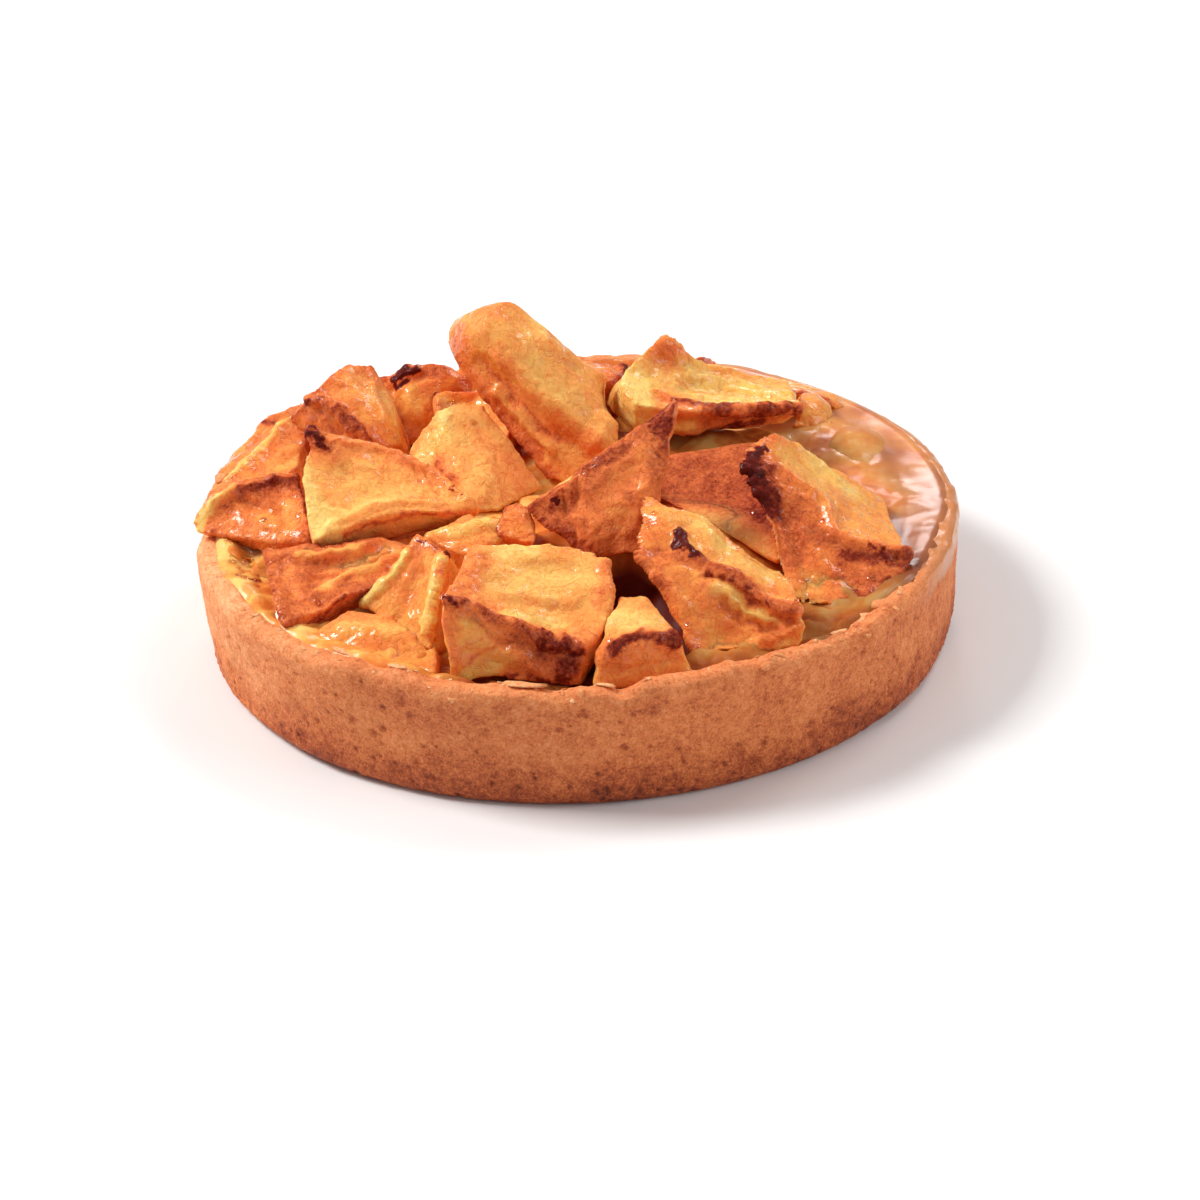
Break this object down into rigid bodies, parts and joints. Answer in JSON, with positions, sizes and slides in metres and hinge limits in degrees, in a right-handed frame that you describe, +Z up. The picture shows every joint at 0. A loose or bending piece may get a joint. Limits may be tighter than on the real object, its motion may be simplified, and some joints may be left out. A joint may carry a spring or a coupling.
{
  "type": "apple tartlet",
  "caption": "Small round apple tartlet: a straight-sided shortcrust case filled level with soft fruit and heaped with browned apple pieces.",
  "frame": {"origin": "centre of the flat underside of the pastry case", "axes": "+Z up through the middle of the tartlet; -Y towards its front, where the big folded block of apple stands; +X to the right as seen from the front"},
  "size_m": [0.0992, 0.1, 0.0388],
  "materials": {
    "pastry": "matt, sandy, golden brown shortcrust",
    "filling": "wet, soft cooked fruit under clear glaze",
    "apple": "glossy cooked apple flesh, browned at its edges"
  },
  "bodies": {
    "root": {"apple_back_charred": "apple", "apple_back_right": "apple", "apple_back_slab": "apple", "apple_back_wedge": "apple", "apple_front_block": "apple", "apple_front_flat": "apple", "apple_front_twist": "apple", "apple_front_wedge": "apple", "apple_left_behind": "apple", "apple_left_curl": "apple", "apple_left_far": "apple", "apple_left_low": "apple", "apple_left_triangle": "apple", "apple_left_under": "apple", "apple_left_upper": "apple", "apple_middle_back": "apple", "apple_middle_chunk": "apple", "apple_middle_fang": "apple", "apple_middle_ridge": "apple", "apple_middle_scrap": "apple", "apple_rear_corner": "apple", "apple_rear_left": "apple", "apple_rear_middle": "apple", "apple_rear_right": "apple", "apple_rear_wedge": "apple", "apple_right_glazed": "apple", "apple_right_hollow": "apple", "apple_right_wedge": "apple", "apple_rim_inner": "apple", "apple_rim_outer": "apple", "apple_yellow_slice": "apple", "crust": "pastry", "filling": "filling"}
  },
  "joints": []
}
